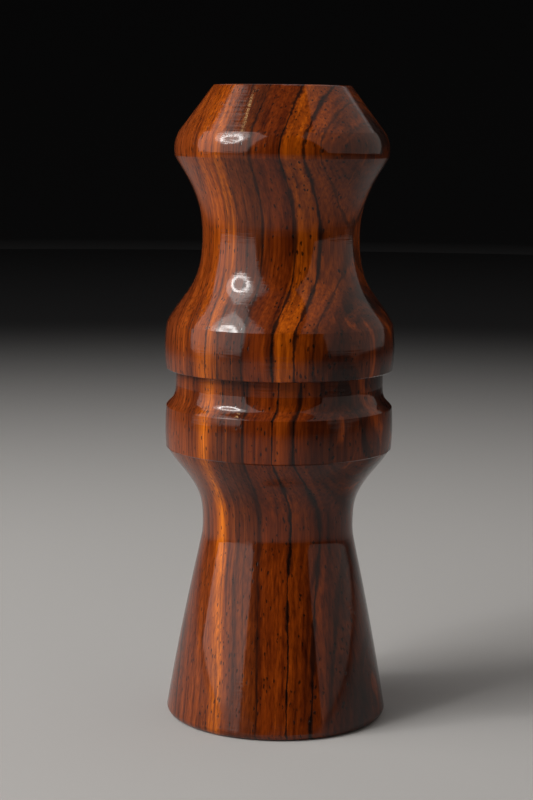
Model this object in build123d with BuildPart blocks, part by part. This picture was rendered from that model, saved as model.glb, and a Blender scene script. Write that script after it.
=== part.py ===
from build123d import *
import os

# Duck call: a turned hardwood barrel and insert around a drop-in tone board with a double reed.
# Millimetres, +Z up. The call stands on its exhaust end: the origin is the centre of that end
# face, and +Z runs along the bore towards the mouthpiece. The reeds face -Y.

os.makedirs("parts", exist_ok=True)

# --- Driving dimensions ---------------------------------------------------------------------
call_length = 110.0
seam_z = 47.5                   # the barrel's end face sits on the insert's shoulder here
edge_break = 0.03               # tiny chamfers where barrel and insert meet
overcut = 1.0                   # how far a cutting shape runs past the stock it cuts

# Outside of the insert, as (radius, height) points of the turned outline
base_r = 19.4
base_round = 1.2
skirt_foot = (base_r - 0.1, base_round)
skirt_middle = (17.2, 13.1)
skirt_top = (14.2, 27.8)
waist_foot = (13.6, 30.6)
lower_waist = (13.18, 34.0)
bell_start = (13.93, 39.5)
bell_middle = (16.63, 43.8)
seam_r = 19.42

# Outside of the barrel, the same way, from the seam up
band_corner = (19.66, 47.7)
lower_band = (19.8, 51.2)
ridge = (19.65, 54.9)
cove = (18.69, 55.95)
neck = (18.0, 58.6)             # floor of the lanyard groove
shoulder_z = 61.35
shoulder_r = 19.68
shoulder_round = 0.2
upper_band = (19.92, 66.0)
crown = (19.56, 69.4)
crown_foot = (15.04, 76.3)
upper_waist = (13.55, 84.2)
flare = (14.34, 90.0)
rim_foot = (16.88, 95.45)
rim_low = (18.35, 97.9)
rim = (18.45, 99.7)
rim_high = (17.6, 102.2)
lip_r = 11.8
lip_round = 0.5

# Bores
bore_r = 15.875 / 2             # five-eighths inch, the usual drill for a call barrel
bore_chamfer = 0.6
throat_r, throat_z = 4.6, 30.0  # straight stretch of the exhaust bore
bell_mouth_r = 11.5
seat_r, seat_z = 5.25, 48.0     # socket for the tone board's tenon

# Insert tenon, its two glands and the O-rings in them
tenon_clearance = 0.06
tenon_length = 16.0
tenon_r = bore_r - tenon_clearance
tenon_top_z = seam_z + tenon_length
ring_section_r = 0.8
ring_clearance = 0.02
ring_centre_r = bore_r - ring_clearance - ring_section_r
gland_floor_r = ring_centre_r - ring_section_r - 2 * ring_clearance
gland_width = 2 * ring_section_r + 4 * ring_clearance
ring_heights = {"o_ring_rear": seam_z + 4.6, "o_ring_front": seam_z + 11.4}

# Tone board
board_r = 6.35
board_fit = 0.02                # room round the tone board's tenon in its socket
board_tenon_r = seat_r - board_fit
board_tip_z = 98.0
board_face_y = -1.2             # flat that carries the reeds
break_z = 79.0                  # the face curves away from here to the tip
tip_drop = 1.3
face_end_z = board_tip_z + 0.5  # the curve runs on this far, just past the tip
nose_z, nose_flat = 88.0, 2.8   # where the sides start to round in, and half the blunt tip
notch_z = 65.4                  # foot of the notch's undercut wall
notch_overhang = 1.9
channel_r, channel_tip_r = 3.5, 1.7
channel_y, channel_tip_y = 0.5, -0.9
channel_end_z = 92.0

# Reeds and the wedge that clamps them
reed_thickness = 0.25
reed_gap = 0.02
reed_width = 9.4
lower_reed_tip_z = 96.6
upper_reed_tip_z = 93.4
reed_tip_round = 2.6
reed_foot = 0.35                # room between a reed's square end and the notch wall
wedge_front_z = 73.0
wedge_front_slant = 1.4
wedge_r = 6.6
wedge_width = 10.4


# --- Insert: exhaust flare, bell, tenon with two glands --------------------------------------
with BuildPart() as insert:
    with BuildSketch(Plane.XZ):
        with BuildLine():
            Line((bell_mouth_r, 0), (base_r - base_round, 0))
            RadiusArc((base_r - base_round, 0), skirt_foot, -base_round)
            Spline(
                skirt_foot,
                skirt_middle,
                skirt_top,
                waist_foot,
                lower_waist,
                tangents=[(-0.165, 1), (0, 1)],
            )
            Spline(
                lower_waist,
                bell_start,
                bell_middle,
                (seam_r - edge_break, seam_z - edge_break),
                tangents=[(0, 1), (0.62, 1)],
            )
            Polyline(
                (seam_r - edge_break, seam_z - edge_break),
                (seam_r - 2 * edge_break, seam_z),
                (tenon_r, seam_z),
                (tenon_r, tenon_top_z - bore_chamfer),
                (tenon_r - bore_chamfer, tenon_top_z),
                (seat_r, tenon_top_z),
                (seat_r, seat_z),
                (throat_r, seat_z),
                (throat_r, throat_z),
            )
            Spline(
                (throat_r, throat_z),
                (bell_mouth_r, 0),
                tangents=[(0, -1), (0.5, -1)],
            )
        make_face()
    revolve(axis=Axis.Z)
    with BuildSketch(Plane.XZ):
        for ring_z in ring_heights.values():
            with Locations((gland_floor_r, ring_z)):
                Rectangle(
                    2 * ring_section_r + overcut, gland_width, align=(Align.MIN, Align.CENTER)
                )
    revolve(axis=Axis.Z, mode=Mode.SUBTRACT)
insert.part.label = "insert"
export_step(insert.part, "parts/insert.step")


# --- Barrel: two bands with the lanyard groove between them, waist, rim and mouthpiece -------
with BuildPart() as barrel:
    with BuildSketch(Plane.XZ):
        with BuildLine():
            Polyline(
                (bore_r, seam_z + bore_chamfer),
                (bore_r + bore_chamfer, seam_z),
                (seam_r - edge_break, seam_z),
                (seam_r, seam_z + edge_break),
            )
            Line((seam_r, seam_z + edge_break), band_corner)
            ThreePointArc(band_corner, lower_band, ridge)
            Spline(ridge, cove, neck, tangents=[(-0.6, 1), (0, 1)])
            Polyline(neck, (neck[0], shoulder_z), (shoulder_r - shoulder_round, shoulder_z))
            RadiusArc(
                (shoulder_r - shoulder_round, shoulder_z),
                (shoulder_r, shoulder_z + shoulder_round),
                -shoulder_round,
            )
            ThreePointArc((shoulder_r, shoulder_z + shoulder_round), upper_band, crown)
            Spline(crown, crown_foot, upper_waist, tangents=[(-0.5, 1), (0, 1)])
            Spline(upper_waist, flare, rim_foot, rim_low, tangents=[(0, 1), (0.5, 1)])
            ThreePointArc(rim_low, rim, rim_high)
            Line(rim_high, (lip_r, call_length))
            Polyline(
                (lip_r, call_length),
                (bore_r + bore_chamfer, call_length),
                (bore_r, call_length - bore_chamfer),
                (bore_r, seam_z + bore_chamfer),
            )
        make_face()
    revolve(axis=Axis.Z)
    lip_edges = barrel.edges().filter_by(GeomType.CIRCLE).filter_by(
        lambda edge: abs(edge.radius - lip_r) < 0.01
    )
    fillet(lip_edges, lip_round)
barrel.part.label = "barrel"
export_step(barrel.part, "parts/barrel.step")


# --- O-rings ---------------------------------------------------------------------------------
for ring_name, ring_z in ring_heights.items():
    with BuildPart() as o_ring:
        with BuildSketch(Plane.XZ):
            with Locations((ring_centre_r, ring_z)):
                Circle(ring_section_r)
        revolve(axis=Axis.Z)
    o_ring.part.label = ring_name
    export_step(o_ring.part, f"parts/{ring_name}.step")


# --- Tone board: tenon, round stock cut to the sounding face, tone channel --------------------
with BuildPart() as tone_board:
    with BuildSketch(Plane.XY.offset(seat_z)):
        Circle(board_tenon_r)
    extrude(amount=tenon_top_z - seat_z)
    with BuildSketch(Plane.XY.offset(tenon_top_z)):
        Circle(board_r)
    extrude(amount=board_tip_z - tenon_top_z)
    # everything in front of the sounding face goes, up to the notch's undercut wall
    with BuildSketch(Plane.YZ):
        with BuildLine():
            Line((board_face_y, notch_z), (board_face_y, break_z))
            Spline(
                (board_face_y, break_z),
                (board_face_y + tip_drop, face_end_z),
                tangents=[(0, 1), (0.16, 1)],
            )
            Polyline(
                (board_face_y + tip_drop, face_end_z),
                (-board_r - overcut, face_end_z),
                (-board_r - overcut, notch_z + notch_overhang),
                (board_face_y, notch_z),
            )
        make_face()
    extrude(amount=board_r + overcut, both=True, mode=Mode.SUBTRACT)
    # the two corners of the tip are rounded off
    with BuildSketch(Plane.XZ):
        for side in (-1, 1):
            with BuildLine():
                Spline(
                    (side * board_r, nose_z),
                    (side * nose_flat, board_tip_z),
                    tangents=[(0, 1), (-side, 0)],
                )
                Polyline(
                    (side * nose_flat, board_tip_z),
                    (side * nose_flat, board_tip_z + overcut),
                    (side * (board_r + overcut), board_tip_z + overcut),
                    (side * (board_r + overcut), nose_z),
                    (side * board_r, nose_z),
                )
            make_face()
    extrude(amount=board_r + overcut, both=True, mode=Mode.SUBTRACT)
    # tone channel: a tapered round cut that starts as a bore and opens through the face
    with BuildSketch(Plane.XY.offset(seat_z)):
        with Locations((0, channel_y)):
            Circle(channel_r)
    with BuildSketch(Plane.XY.offset(channel_end_z)):
        with Locations((0, channel_tip_y)):
            Circle(channel_tip_r)
    loft(mode=Mode.SUBTRACT)
tone_board.part.label = "tone_board"
export_step(tone_board.part, "parts/tone_board.step")


# --- Reeds: two flat blades stacked on the sounding face --------------------------------------
def make_reed(name, layer, tip_z):
    """One reed. Layer 0 lies on the tone board and layer 1 on the reed below it."""
    back_y = board_face_y - reed_gap - layer * (reed_thickness + reed_gap)
    foot_z = notch_z + reed_foot
    with BuildPart() as reed:
        with BuildSketch(Plane.XZ.offset(-back_y)):
            with Locations((0, foot_z)):
                Rectangle(reed_width, tip_z - foot_z, align=(Align.CENTER, Align.MIN))
        extrude(amount=reed_thickness)
        fillet(reed.edges().filter_by(Axis.Y).group_by(Axis.Z)[-1], reed_tip_round)
    reed.part.label = name
    export_step(reed.part, f"parts/{name}.step")


make_reed("lower_reed", 0, lower_reed_tip_z)
make_reed("upper_reed", 1, upper_reed_tip_z)


# --- Wedge: a cork block jammed under the notch's overhang, on top of the reeds ---------------
wall_slope = notch_overhang / (board_r + overcut + board_face_y)
wedge_y = board_face_y - 3 * reed_gap - 2 * reed_thickness
with BuildPart() as wedge:
    with BuildSketch(Plane.YZ):
        with BuildLine():
            Polyline(
                (wedge_y, wedge_front_z),
                (wedge_y, notch_z + wall_slope * (board_face_y - wedge_y)),
                (-wedge_r, notch_z + wall_slope * (board_face_y + wedge_r)),
                (-wedge_r, wedge_front_z - wedge_front_slant),
                close=True,
            )
        make_face()
    extrude(amount=wedge_width / 2, both=True)
    with BuildSketch(Plane.XY.offset(notch_z)):
        Circle(wedge_r)
    extrude(amount=wedge_front_z - notch_z, mode=Mode.INTERSECT)
wedge.part.label = "wedge"
export_step(wedge.part, "parts/wedge.step")
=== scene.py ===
"""Duck call in turned rosewood: barrel, insert, tone board, reeds, wedge and O-rings, in metres.

The wood is a solid texture: growth layers are surfaces in space that both turned halves cut
through, so the figure follows every curve of the turning and runs on across the seam.
"""

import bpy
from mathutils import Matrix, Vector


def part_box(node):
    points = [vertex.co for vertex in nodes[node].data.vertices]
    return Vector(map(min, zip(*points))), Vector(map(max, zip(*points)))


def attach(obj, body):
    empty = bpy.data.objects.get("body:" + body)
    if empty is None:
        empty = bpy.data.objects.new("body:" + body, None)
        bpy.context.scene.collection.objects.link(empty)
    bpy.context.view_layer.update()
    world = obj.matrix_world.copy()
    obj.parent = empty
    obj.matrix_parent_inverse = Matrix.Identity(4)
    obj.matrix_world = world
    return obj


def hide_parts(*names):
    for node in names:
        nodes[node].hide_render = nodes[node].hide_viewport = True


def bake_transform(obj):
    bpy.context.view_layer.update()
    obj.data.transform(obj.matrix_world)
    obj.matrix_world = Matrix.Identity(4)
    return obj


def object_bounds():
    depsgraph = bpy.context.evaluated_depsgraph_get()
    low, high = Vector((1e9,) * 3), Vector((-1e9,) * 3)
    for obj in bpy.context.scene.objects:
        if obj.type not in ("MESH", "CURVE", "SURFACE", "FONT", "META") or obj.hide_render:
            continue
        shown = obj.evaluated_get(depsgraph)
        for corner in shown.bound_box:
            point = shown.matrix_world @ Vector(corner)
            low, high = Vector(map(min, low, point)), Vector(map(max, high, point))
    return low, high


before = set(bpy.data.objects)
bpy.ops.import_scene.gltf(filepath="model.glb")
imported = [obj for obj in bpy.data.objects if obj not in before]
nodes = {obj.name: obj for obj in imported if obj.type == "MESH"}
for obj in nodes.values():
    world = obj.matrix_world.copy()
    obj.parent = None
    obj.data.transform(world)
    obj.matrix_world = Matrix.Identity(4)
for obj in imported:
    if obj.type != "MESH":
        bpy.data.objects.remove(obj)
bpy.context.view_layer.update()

import math

import bmesh
import bpy
from mathutils import Matrix, Vector, noise

scene = bpy.context.scene
low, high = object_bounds()
HEIGHT = high.z - low.z


# --- Shader helpers ---------------------------------------------------------------------------
class Graph:
    """A material's node tree, with one short call for each kind of node used here."""

    def __init__(self, name):
        self.material = bpy.data.materials.new(name)
        self.material.use_nodes = True
        self.nodes = self.material.node_tree.nodes
        self.links = self.material.node_tree.links
        self.shader = next(n for n in self.nodes if n.type == "BSDF_PRINCIPLED")
        self.place = self.nodes.new("ShaderNodeTexCoord").outputs["Object"]

    def put(self, socket, value):
        if isinstance(value, bpy.types.NodeSocket):
            self.links.new(value, socket)
        elif value is not None:
            socket.default_value = value

    def set(self, **values):
        """Sets sockets of the principled shader, such as roughness=0.3 or coat_weight=1."""
        for name, value in values.items():
            wanted = name.replace("_", " ")
            socket = next(s for s in self.shader.inputs if s.name.lower() == wanted)
            self.put(socket, value)

    def math(self, operation, a, b=None, c=None, clamp=False):
        node = self.nodes.new("ShaderNodeMath")
        node.operation = operation
        node.use_clamp = clamp
        for socket, value in zip(node.inputs, (a, b, c)):
            self.put(socket, value)
        return node.outputs[0]

    def add(self, a, b):
        return self.math("ADD", a, b)

    def times(self, a, b):
        return self.math("MULTIPLY", a, b)

    def scaled(self, scale, offset=(0, 0, 0), source=None):
        """The place in the object, scaled along each axis."""
        node = self.nodes.new("ShaderNodeMapping")
        self.put(node.inputs["Vector"], source or self.place)
        node.inputs["Scale"].default_value = scale
        node.inputs["Location"].default_value = offset
        return node.outputs[0]

    def noise(self, vector, scale=1.0, detail=2.0, roughness=0.5, distortion=0.0):
        """A noise value around zero, from about -0.5 to 0.5."""
        node = self.nodes.new("ShaderNodeTexNoise")
        self.put(node.inputs["Vector"], vector)
        for name, value in (
            ("Scale", scale),
            ("Detail", detail),
            ("Roughness", roughness),
            ("Distortion", distortion),
        ):
            node.inputs[name].default_value = value
        return self.math("SUBTRACT", node.outputs["Fac"], 0.5)

    def cells(self, vector):
        """Scattered cells: each point's distance to its cell's centre, and the cell's own colour."""
        node = self.nodes.new("ShaderNodeTexVoronoi")
        self.put(node.inputs["Vector"], vector)
        node.inputs["Scale"].default_value = 1.0
        return node.outputs

    def remap(self, value, from_low, from_high, to_low=0.0, to_high=1.0):
        """A smooth step from one range of values to another."""
        node = self.nodes.new("ShaderNodeMapRange")
        node.interpolation_type = "SMOOTHSTEP"
        for socket, number in zip(node.inputs, (value, from_low, from_high, to_low, to_high)):
            self.put(socket, number)
        return node.outputs["Result"]

    def ramp(self, value, stops):
        node = self.nodes.new("ShaderNodeValToRGB")
        elements = node.color_ramp.elements
        while len(elements) < len(stops):
            elements.new(0.5)
        for element, (position, colour) in zip(elements, stops):
            element.position = position
            element.color = (*colour, 1.0)
        self.put(node.inputs["Fac"], value)
        return node.outputs["Color"]

    def mix(self, amount, a, b, blend="MIX"):
        node = self.nodes.new("ShaderNodeMix")
        node.data_type = "RGBA"
        node.blend_type = blend
        for index, value in ((0, amount), (6, a), (7, b)):
            if isinstance(value, tuple):
                value = (*value, 1.0)
            self.put(node.inputs[index], value)
        return node.outputs[2]

    def split(self, vector=None):
        node = self.nodes.new("ShaderNodeSeparateXYZ")
        self.put(node.inputs[0], vector or self.place)
        return node.outputs

    def join(self, x, y, z):
        node = self.nodes.new("ShaderNodeCombineXYZ")
        for socket, value in zip(node.inputs, (x, y, z)):
            self.put(socket, value)
        return node.outputs[0]

    def bump(self, height, distance, strength=1.0):
        node = self.nodes.new("ShaderNodeBump")
        node.inputs["Strength"].default_value = strength
        node.inputs["Distance"].default_value = distance
        self.put(node.inputs["Height"], height)
        return node.outputs[0]


# --- Wood -------------------------------------------------------------------------------------
MM = 0.001
LAYER_TILT = 0.547            # how fast the layers turn towards the back of the blank
LAYER_SPAN = 46 * MM          # the colour ramp covers this much of the blank, centred on its axis
DRIFT = 3.0 * MM              # the grain leans this much towards the foot
DRIFT_TOP = 36 * MM


def layer_position(millimetres):
    """Where a layer lies on the wood's colour ramp; 0 is the layer through the axis."""
    return 0.5 + millimetres * MM / LAYER_SPAN


# Colours across the blank, from the layer that shows at the left edge to the one at the right.
# The figure changes along the blank: broad bands above the groove, one bright streak below it.
LOWER_LAYERS = [
    (-22, (0.190, 0.038, 0.010)),
    (-17, (0.120, 0.023, 0.006)),
    (-13, (0.160, 0.030, 0.006)),
    (-10, (0.185, 0.035, 0.005)),
    (-8.4, (0.140, 0.025, 0.004)),
    (-6.4, (0.21, 0.038, 0.002)),
    (-5.6, (0.36, 0.074, 0.001)),
    (-4.7, (0.50, 0.112, 0.001)),
    (-3.8, (0.44, 0.094, 0.001)),
    (-3.0, (0.22, 0.040, 0.002)),
    (-1.0, (0.135, 0.025, 0.003)),
    (1.5, (0.110, 0.019, 0.002)),
    (3.6, (0.080, 0.013, 0.001)),
    (4.6, (0.140, 0.021, 0.001)),
    (6.5, (0.160, 0.024, 0.001)),
    (8.8, (0.130, 0.019, 0.001)),
    (9.8, (0.190, 0.030, 0.001)),
    (11.2, (0.180, 0.028, 0.001)),
    (12.6, (0.130, 0.020, 0.001)),
    (13.8, (0.180, 0.028, 0.001)),
    (15.5, (0.100, 0.016, 0.001)),
    (17.5, (0.080, 0.013, 0.001)),
    (20.0, (0.065, 0.010, 0.001)),
    (22, (0.110, 0.018, 0.002)),
]
UPPER_LAYERS = [
    (-22, (0.190, 0.038, 0.010)),
    (-17, (0.130, 0.025, 0.006)),
    (-13, (0.165, 0.031, 0.006)),
    (-10, (0.215, 0.040, 0.004)),
    (-8.0, (0.190, 0.034, 0.003)),
    (-6.8, (0.25, 0.046, 0.001)),
    (-5.0, (0.27, 0.050, 0.001)),
    (-4.1, (0.17, 0.028, 0.001)),
    (-3.6, (0.32, 0.066, 0.001)),
    (-2.2, (0.29, 0.058, 0.001)),
    (-1.4, (0.135, 0.024, 0.002)),
    (1.0, (0.090, 0.015, 0.001)),
    (3.6, (0.070, 0.012, 0.001)),
    (4.6, (0.120, 0.019, 0.001)),
    (6.5, (0.140, 0.021, 0.001)),
    (8.9, (0.110, 0.016, 0.001)),
    (9.7, (0.30, 0.054, 0.001)),
    (10.5, (0.40, 0.078, 0.001)),
    (11.2, (0.21, 0.036, 0.001)),
    (12.0, (0.35, 0.066, 0.001)),
    (13.2, (0.22, 0.036, 0.001)),
    (14.2, (0.32, 0.057, 0.001)),
    (15.8, (0.24, 0.041, 0.001)),
    (17.5, (0.110, 0.018, 0.001)),
    (20.0, (0.080, 0.013, 0.001)),
    (22, (0.130, 0.022, 0.002)),
]
FIGURE_CHANGE = (56 * MM, 70 * MM)

# Black lines between layers, as (layer, half width, strength) in millimetres
INK_LINES = [
    (-16.4, 0.20, 0.60),
    (-13.0, 0.16, 0.55),
    (-8.6, 0.14, 0.60),
    (-4.05, 0.13, 0.70),
    (-1.2, 0.20, 0.60),
    (0.9, 0.15, 0.55),
    (3.8, 0.24, 0.85),
    (9.4, 0.31, 0.98),
    (13.0, 0.34, 0.98),
    (15.6, 0.30, 0.65),
    (18.6, 0.40, 0.50),
]
INK = (0.010, 0.003, 0.0015)
WET_LOOK = (0.90, 0.88, 0.86)   # how much the lacquer darkens the wood under it


def wood(name, seed):
    """Polished rosewood. The seed only varies the finish: the figure is the same in both halves."""
    g = Graph(name)
    x, y, z = g.split()

    # layer coordinate: flat layers, leaning near the foot, with slow and quick waves along the grain
    drift = g.times(g.remap(z, 0.0, DRIFT_TOP, 1.0, 0.0), -DRIFT)
    slow = g.times(g.noise(g.scaled((28, 28, 13))), 1.1 * MM)
    quick = g.times(g.noise(g.scaled((130, 130, 60)), detail=3.0), 0.8 * MM)
    layer = g.add(x, g.times(y, -LAYER_TILT))
    for part in (drift, slow, quick):
        layer = g.add(layer, part)
    grain_place = g.join(layer, y, z)

    position = g.add(g.times(layer, 1 / LAYER_SPAN), 0.5)
    lower, upper = (
        g.ramp(position, [(layer_position(mm), colour) for mm, colour in layers])
        for layers in (LOWER_LAYERS, UPPER_LAYERS)
    )
    height_here = g.add(z, g.times(g.noise(g.scaled((180, 180, 25), (4, 4, 4))), 26 * MM))
    colour = g.mix(g.remap(height_here, *FIGURE_CHANGE), lower, upper)

    # every layer has brighter and duller stretches along its length
    stretches = g.noise(g.scaled((150, 60, 34), (2, 7, 1), source=grain_place), detail=2.0)
    colour = g.mix(1.0, colour, g.ramp(g.add(stretches, 0.5), [
        (0.30, (0.66, 0.60, 0.60)),
        (0.50, (0.98, 0.98, 0.98)),
        (0.70, (1.30, 1.36, 1.30)),
    ]), blend="MULTIPLY")

    # growth streaks: thin bands that run with the layers and slowly come and go
    streaks = g.noise(g.scaled((1000, 160, 20), source=grain_place), detail=4.0, roughness=0.68)
    colour = g.mix(1.0, colour, g.ramp(g.add(streaks, 0.5), [
        (0.32, (0.36, 0.30, 0.28)),
        (0.46, (0.90, 0.88, 0.86)),
        (0.56, (1.10, 1.12, 1.08)),
        (0.70, (1.50, 1.64, 1.40)),
    ]), blend="MULTIPLY")

    # cathedral figure: dark and orange blotches on the far side of the blank
    cathedral = g.noise(g.scaled((150, 150, 70), (8, 2, 5)), detail=4.0, distortion=1.2)
    far_side = g.remap(layer, 15 * MM, 19 * MM)
    dark_blotch = g.times(g.remap(cathedral, 0.02, 0.14), far_side)
    warm_blotch = g.times(g.remap(cathedral, -0.06, -0.18), far_side)
    colour = g.mix(g.times(dark_blotch, 0.85), colour, (0.014, 0.003, 0.001))
    colour = g.mix(g.times(warm_blotch, 0.75), colour, (0.42, 0.075, 0.003))

    # each ink line wanders, frays into short jogs and swells into blots on its own
    for index, (at, width, strength) in enumerate(INK_LINES):
        jog_place = g.scaled((700, 700, 620), (index, 0, 0))
        jog = g.times(g.noise(jog_place, detail=4.0, roughness=0.7), 0.95 * MM)
        jog_show = g.remap(g.noise(g.scaled((60, 60, 45), (index, 2, 0))), -0.12, 0.20, 0.15, 1.0)
        wander = g.times(g.noise(g.scaled((40, 40, 30), (0, index, 0))), 0.9 * MM)
        centre = g.add(g.add(layer, -at * MM), g.add(g.times(jog, jog_show), wander))
        away = g.math("ABSOLUTE", centre)
        blots = g.noise(g.scaled((420, 420, 150), (0, 3, index)), detail=3.0)
        swell = g.remap(blots, -0.15, 0.25, 0.35, 1.9)
        core = g.remap(g.math("DIVIDE", away, g.times(swell, width * MM)), 0.25, 1.5, 1.0, 0.0)
        come_and_go = g.noise(g.scaled((50, 50, 28), (index, 5, 1)))
        amount = g.remap(come_and_go, -0.22, 0.05, strength ** 4 - 0.1, strength)
        colour = g.mix(g.times(core, amount), colour, INK)

    # fibre: fine streaks along the grain, light and dark
    fibre = g.noise(g.scaled((2400, 2400, 110), source=grain_place), detail=3.0, roughness=0.6)
    colour = g.mix(1.0, colour, g.ramp(g.add(fibre, 0.5), [
        (0.30, (0.54, 0.48, 0.44)),
        (0.52, (1.0, 1.0, 1.0)),
        (0.74, (1.42, 1.48, 1.36)),
    ]), blend="MULTIPLY")

    # pores: short dark dashes, only in some cells, and crowded in some layers
    ragged = g.times(g.noise(g.scaled((2600, 2600, 1500))), 0.5 * MM)
    pore_place = g.join(g.add(layer, ragged), g.add(y, ragged), z)
    pore_cells = g.cells(g.scaled((1700, 1700, 620), source=pore_place))
    chance = g.split(pore_cells["Color"])[0]
    crowd = g.remap(g.noise(g.scaled((120, 120, 24), (5, 9, 2)), detail=2.0), -0.2, 0.2, 0.80, 0.24)
    open_pore = g.remap(chance, crowd, g.add(crowd, 0.12))
    pores = g.times(g.remap(pore_cells["Distance"], 0.16, 0.34, 1.0, 0.0), open_pore)
    colour = g.mix(g.times(pores, 0.9), colour, (0.008, 0.003, 0.001))

    colour = g.mix(1.0, colour, WET_LOOK, blend="MULTIPLY")

    # finish: lacquer over the wood, with patches of faint turning marks and sunken pores
    rings = g.noise(g.scaled((90, 90, 2600), (seed, 0, 0)), detail=3.0, roughness=0.65)
    rings_show = g.remap(g.noise(g.scaled((110, 110, 50), (seed, 3, 0))), -0.1, 0.2)
    marks = g.times(rings, rings_show)
    height = g.add(g.add(g.times(marks, 0.5), g.times(pores, -0.8)), g.times(fibre, 0.12))
    coat_height = g.add(g.add(g.times(marks, 3.0), g.times(pores, -0.6)), g.times(fibre, 0.3))
    g.set(
        base_color=colour,
        roughness=g.add(g.times(fibre, 0.25), 0.42),
        ior=1.5,
        specular_ior_level=0.05,
        normal=g.bump(height, 0.02 * MM),
        coat_weight=0.7,
        coat_roughness=0.055,
        coat_ior=1.5,
        coat_normal=g.bump(coat_height, 0.011 * MM),
    )
    return g.material


# --- Inner parts ------------------------------------------------------------------------------
def acrylic():
    """Buffed bone-coloured acrylic, with faint swirls in the casting and cutter marks."""
    g = Graph("tone_board_acrylic")
    swirl = g.noise(g.scaled((60, 60, 25)), detail=4.0, distortion=1.6)
    colour = g.ramp(g.add(swirl, 0.5), [
        (0.30, (0.60, 0.50, 0.34)),
        (0.50, (0.74, 0.66, 0.50)),
        (0.72, (0.82, 0.77, 0.66)),
    ])
    marks = g.noise(g.scaled((60, 60, 3800)), detail=2.0)
    g.set(
        base_color=colour,
        roughness=g.add(g.times(marks, 0.12), 0.24),
        ior=1.49,
        subsurface_weight=0.25,
        subsurface_radius=(0.004, 0.003, 0.002),
        subsurface_scale=0.6,
        normal=g.bump(marks, 0.004 * MM),
    )
    return g.material


def rubber():
    """Greased black nitrile."""
    g = Graph("o_ring_rubber")
    grain = g.noise(g.scaled((5200, 5200, 5200)), detail=3.0)
    smear = g.noise(g.scaled((420, 420, 420)), detail=2.0)
    g.set(
        base_color=g.ramp(g.add(smear, 0.5), [
            (0.3, (0.010, 0.010, 0.011)),
            (0.7, (0.030, 0.029, 0.028)),
        ]),
        roughness=g.remap(smear, -0.25, 0.25, 0.28, 0.52),
        normal=g.bump(grain, 0.006 * MM),
    )
    return g.material


def film():
    """Frosted polyester: milky, slightly see-through, with a sanded face."""
    g = Graph("reed_film")
    sanded = g.noise(g.scaled((300, 300, 5200)), detail=3.0)
    cloud = g.noise(g.scaled((180, 180, 120)), detail=3.0)
    g.set(
        base_color=g.ramp(g.add(cloud, 0.5), [(0.3, (0.60, 0.64, 0.63)), (0.7, (0.76, 0.79, 0.77))]),
        roughness=g.add(g.times(sanded, 0.2), 0.42),
        transmission_weight=0.35,
        ior=1.6,
        normal=g.bump(sanded, 0.005 * MM),
    )
    return g.material


def cork():
    """Cut cork: pale cells with dark lenticels."""
    g = Graph("wedge_cork")
    cells = g.cells(g.scaled((1700, 1700, 1700)))["Distance"]
    lenticel = g.remap(g.noise(g.scaled((900, 900, 420), (2, 4, 1)), detail=3.0), 0.10, 0.24)
    tone = g.noise(g.scaled((500, 500, 500)), detail=4.0)
    colour = g.ramp(g.add(tone, 0.5), [
        (0.28, (0.34, 0.19, 0.09)),
        (0.50, (0.52, 0.32, 0.17)),
        (0.72, (0.66, 0.45, 0.26)),
    ])
    colour = g.mix(g.times(lenticel, 0.8), colour, (0.10, 0.045, 0.02))
    height = g.add(g.times(cells, 0.6), g.times(lenticel, -1.0))
    g.set(base_color=colour, roughness=0.85, normal=g.bump(height, 0.09 * MM))
    return g.material


def paint(node, material):
    """Gives a CAD node's object one material in every slot."""
    mesh = nodes[node].data
    mesh.materials.clear()
    mesh.materials.append(material)


MATERIALS = {
    "barrel": wood("barrel_wood", 1),
    "insert": wood("insert_wood", 4),
    "tone_board": acrylic(),
}
rubber_material = rubber()
for node, material in MATERIALS.items():
    paint(node, material)
for node in ("o_ring_front", "o_ring_rear"):
    paint(node, rubber_material)


# --- Reeds: thin flat blades with rounded tip corners, each built over its reed part's box ------
REED_TIP_ROUND = 2.6 * MM
REED_EDGE = 0.05 * MM           # buffed corner along the edges of the film
REED_ROWS = 90
REED_COLUMNS = 14


def reed_half_width(z, tip_z, half_width):
    """Straight sides, and a quarter circle at each corner of the tip."""
    into_corner = z - (tip_z - REED_TIP_ROUND)
    if into_corner <= 0:
        return half_width
    return half_width - REED_TIP_ROUND + math.sqrt(max(REED_TIP_ROUND**2 - into_corner**2, 0.0))


def reed_section(z, half_width, front_y, back_y):
    """One loop round the blade: across the front, then back across the other face."""
    inner = half_width - REED_EDGE
    across = [inner * (2 * step / REED_COLUMNS - 1) for step in range(REED_COLUMNS + 1)]
    loop = [(-half_width, front_y + REED_EDGE, z)]
    loop += [(x, front_y, z) for x in across]
    loop += [(half_width, front_y + REED_EDGE, z), (half_width, back_y - REED_EDGE, z)]
    loop += [(x, back_y, z) for x in reversed(across)]
    loop.append((-half_width, back_y - REED_EDGE, z))
    return loop


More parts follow.
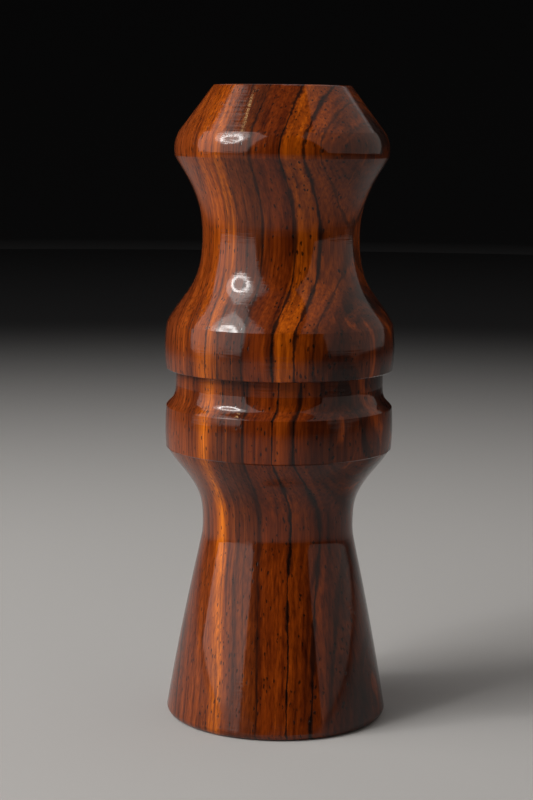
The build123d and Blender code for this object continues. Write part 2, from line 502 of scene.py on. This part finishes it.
def reed(node, material):
    low_corner, high_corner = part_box(node)
    length = high_corner.z - low_corner.z
    form = bmesh.new()
    sections = []
    for row in range(REED_ROWS + 1):
        # rows crowd towards the tip, where the corners turn
        share = math.sin(0.5 * math.pi * row / REED_ROWS)
        z = low_corner.z + length * share
        half_width = reed_half_width(z, high_corner.z, high_corner.x)
        points = reed_section(z, half_width, low_corner.y, high_corner.y)
        sections.append([form.verts.new(point) for point in points])
    for lower, upper in zip(sections, sections[1:]):
        for index in range(len(lower)):
            after = (index + 1) % len(lower)
            form.faces.new((lower[index], lower[after], upper[after], upper[index]))
    form.faces.new(list(reversed(sections[0])))
    form.faces.new(sections[-1])
    bmesh.ops.recalc_face_normals(form, faces=form.faces)
    mesh = bpy.data.meshes.new(f"{node}_blade")
    form.to_mesh(mesh)
    form.free()
    mesh.materials.append(material)
    blade = bpy.data.objects.new(f"{node}_blade", mesh)
    scene.collection.objects.link(blade)
    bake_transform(blade)
    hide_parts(node)


# --- Wedge: a block cut from cork, with soft corners and open pits --------------------------------
CORK_VOXEL = 0.14 * MM
CORK_PIT_DEPTH = 0.16 * MM


def cork_wedge(material):
    block = bpy.data.objects.new("cork_block", nodes["wedge"].data.copy())
    scene.collection.objects.link(block)
    remesh = block.modifiers.new("even_mesh", "REMESH")
    remesh.mode = "VOXEL"
    remesh.voxel_size = CORK_VOXEL
    smooth = block.modifiers.new("soft_corners", "SMOOTH")
    smooth.factor = 0.5
    smooth.iterations = 4
    evaluated = block.evaluated_get(bpy.context.evaluated_depsgraph_get())
    mesh = bpy.data.meshes.new_from_object(evaluated)
    bpy.data.objects.remove(block)
    normals = [vertex.normal.copy() for vertex in mesh.vertices]
    for vertex, normal in zip(mesh.vertices, normals):
        cell = noise.noise(vertex.co / (0.9 * MM))
        crumb = noise.noise(vertex.co / (0.3 * MM))
        pit = max(cell - 0.18, 0.0) * 1.6 + max(crumb, 0.0) * 0.25
        vertex.co -= normal * min(pit, 1.0) * CORK_PIT_DEPTH
    for polygon in mesh.polygons:
        polygon.use_smooth = True
    mesh.materials.clear()
    mesh.materials.append(material)
    wedge = bpy.data.objects.new("cork_wedge", mesh)
    scene.collection.objects.link(wedge)
    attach(wedge, "insert")
    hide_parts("wedge")


film_material = film()
reed("lower_reed", film_material)
reed("upper_reed", film_material)
cork_wedge(cork())


# --- Floor, light and camera ------------------------------------------------------------------
# floor colours: pale paper near the call, and painted shade of near black farther out
FLOOR_NEAR, FLOOR_FAR_PAINTED_SHADE = (0.42, 0.416, 0.410), (0.020, 0.020, 0.0205)
FLOOR_SHADE_FADE = (0.12, 0.68)       # painted shade: the floor darkens from the pale colour to near black over these radii
LAMP_TARGET = 0.55              # lamps aim at this share of the call's height

CAMERA_LENS = 89.8
CAMERA_PLACE = (-0.0022, -0.3449, 0.1053)
CAMERA_PITCH, CAMERA_ROLL = 8.19, 0.63


def floor_material():
    """Pale paper round the call, with painted shade that darkens it to near black before it reaches the
    lamps, in place of light falling off.
    """
    g = Graph("studio_floor")
    x, y, z = g.split()
    away = g.math("SQRT", g.add(g.times(x, x), g.times(y, y)))
    grain = g.noise(g.scaled((1400, 1400, 1400)), detail=3.0)
    # painted shade: the floor's colour darkens with distance from the call
    colour = g.mix(g.remap(away, *FLOOR_SHADE_FADE), FLOOR_NEAR, FLOOR_FAR_PAINTED_SHADE)
    g.set(base_color=colour, roughness=0.8, specular_ior_level=0.0, normal=g.bump(grain, 0.05 * MM, 0.3))
    return g.material


def studio_cove():
    """One sheet all round: a flat round floor whose far edge curves up into a wall."""
    flat_radius, curve_radius, top = 1.2, 1.3, 3.2
    curve_steps, sides = 24, 96
    outline = [(flat_radius, 0.0)]
    for step in range(1, curve_steps + 1):
        angle = 0.5 * math.pi * step / curve_steps
        outline.append(
            (flat_radius + curve_radius * math.sin(angle), curve_radius * (1 - math.cos(angle)))
        )
    outline.append((flat_radius + curve_radius, top))
    form = bmesh.new()
    turns = [2 * math.pi * side / sides for side in range(sides)]
    rings = [
        [form.verts.new((radius * math.cos(turn), radius * math.sin(turn), z)) for turn in turns]
        for radius, z in outline
    ]
    form.faces.new(rings[0])
    for lower, upper in zip(rings, rings[1:]):
        for side in range(sides):
            after = (side + 1) % sides
            form.faces.new((lower[side], lower[after], upper[after], upper[side])).smooth = True
    mesh = bpy.data.meshes.new("studio_cove")
    form.to_mesh(mesh)
    form.free()
    mesh.materials.append(floor_material())
    cove = bpy.data.objects.new("studio_cove", mesh)
    scene.collection.objects.link(cove)


def aim(azimuth, elevation):
    """Unit vector towards a lamp. Azimuth 0 is in front (-Y), and + is to the right."""
    turn, rise = math.radians(azimuth), math.radians(elevation)
    return Vector(
        (math.sin(turn) * math.cos(rise), -math.cos(turn) * math.cos(rise), math.sin(rise))
    )


def area_light(
    name, azimuth, elevation, distance, size, radiance, colour, shape="RECTANGLE", shift=(0, 0)
):
    """A lamp aimed at the middle of the call, moved sideways and upwards in its own plane."""
    target = Vector((0, 0, LAMP_TARGET * HEIGHT))
    direction = aim(azimuth, elevation)
    turned = direction.to_track_quat("Z", "Y")
    data = bpy.data.lights.new(name, "AREA")
    data.shape = shape
    data.size, data.size_y = size
    fill = 0.25 * math.pi if shape == "ELLIPSE" else 1.0
    data.energy = math.pi * radiance * fill * size[0] * size[1]
    data.color = colour
    light = bpy.data.objects.new(name, data)
    light.location = target + distance * direction + turned @ Vector((*shift, 0))
    light.rotation_euler = turned.to_euler()
    scene.collection.objects.link(light)


def ring_lamp(name, azimuth, elevation, distance, radius, count, spot, radiance, colour):
    """A round studio lamp: small discs that nearly touch, evenly spaced on a circle."""
    for index in range(count):
        angle = 2 * math.pi * index / count
        shift = (radius * math.cos(angle), radius * math.sin(angle))
        area_light(
            f"{name}_{index}", azimuth, elevation, distance, (spot, spot), radiance, colour,
            "ELLIPSE", shift,
        )


def world_light(strength):
    world = bpy.data.worlds.new("studio")
    world.use_nodes = True
    background = world.node_tree.nodes["Background"]
    background.inputs["Color"].default_value = (0.9, 0.93, 1.0, 1.0)
    background.inputs["Strength"].default_value = strength
    scene.world = world


def camera():
    """A long lens a little below the top of the call, looking slightly down at it."""
    data = bpy.data.cameras.new("camera")
    data.sensor_width = 36.0
    data.lens = CAMERA_LENS
    data.clip_start = 0.01
    view = bpy.data.objects.new("camera", data)
    pitch, roll = math.radians(CAMERA_PITCH), math.radians(CAMERA_ROLL)
    view.matrix_world = (
        Matrix.Translation(CAMERA_PLACE)
        @ Matrix.Rotation(0.5 * math.pi - pitch, 4, "X")
        @ Matrix.Rotation(roll, 4, "Z")
    )
    scene.collection.objects.link(view)
    scene.camera = view


studio_cove()
area_light("key_panel", -68, 28, 0.75, (1.0, 0.93), 1.50, (1.0, 0.97, 0.94))
area_light("key_glow", -64, 38, 0.74, (0.46, 0.46), 4.2, (1.0, 0.96, 0.92), "ELLIPSE")
ring_lamp("key_ring", -62, 35, 0.73, 0.135, 18, 0.050, 24.0, (1.0, 0.98, 0.96))
area_light("warm_spark", -75, 62, 0.73, (0.032, 0.032), 13.0, (1.0, 0.66, 0.28), "ELLIPSE")
area_light("fill_panel", 88, 32, 0.80, (1.60, 1.15), 0.42, (1.0, 0.90, 0.83))
area_light("back_fill", 172, 52, 0.85, (1.0, 0.7), 0.30, (0.97, 0.98, 1.0))
world_light(0.06)
camera()
scene.view_settings.view_transform = "Standard"
